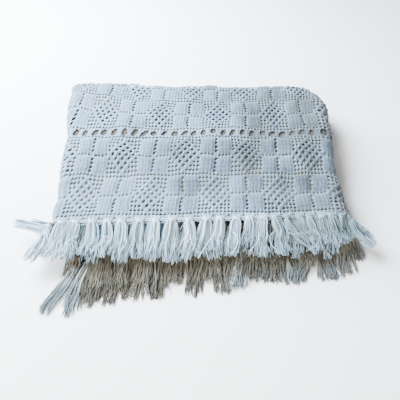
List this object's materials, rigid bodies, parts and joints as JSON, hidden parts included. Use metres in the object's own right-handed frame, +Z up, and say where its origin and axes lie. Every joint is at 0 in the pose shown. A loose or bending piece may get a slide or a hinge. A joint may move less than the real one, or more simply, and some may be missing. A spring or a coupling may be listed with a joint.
{
  "type": "folded crochet bedspread",
  "caption": "A heavy cotton crochet bedspread of blocks, open mesh diamonds and a lace band, folded into a thick pile with its knotted tassel fringe along the front.",
  "frame": {"origin": "on the surface the pile rests on, under the middle of its bounding box seen from above", "axes": "+X runs along the fringed front edge to the right as seen from the front, +Y runs from the fringe to the back folds, +Z is up"},
  "size_m": [0.7816, 0.6482, 0.0937],
  "materials": {
    "spread": "matte",
    "fringe_a_top": "matte",
    "fringe_b_top": "matte",
    "fringe_b_middle": "matte",
    "fringe_a_middle": "matte",
    "fringe_b_bottom": "matte",
    "fringe_a_bottom": "matte"
  },
  "bodies": {
    "root": {"spread": "spread", "fringe_a_top": "fringe_a_top", "fringe_b_top": "fringe_b_top", "fringe_b_middle": "fringe_b_middle", "fringe_a_middle": "fringe_a_middle", "fringe_b_bottom": "fringe_b_bottom", "fringe_a_bottom": "fringe_a_bottom"}
  },
  "joints": []
}
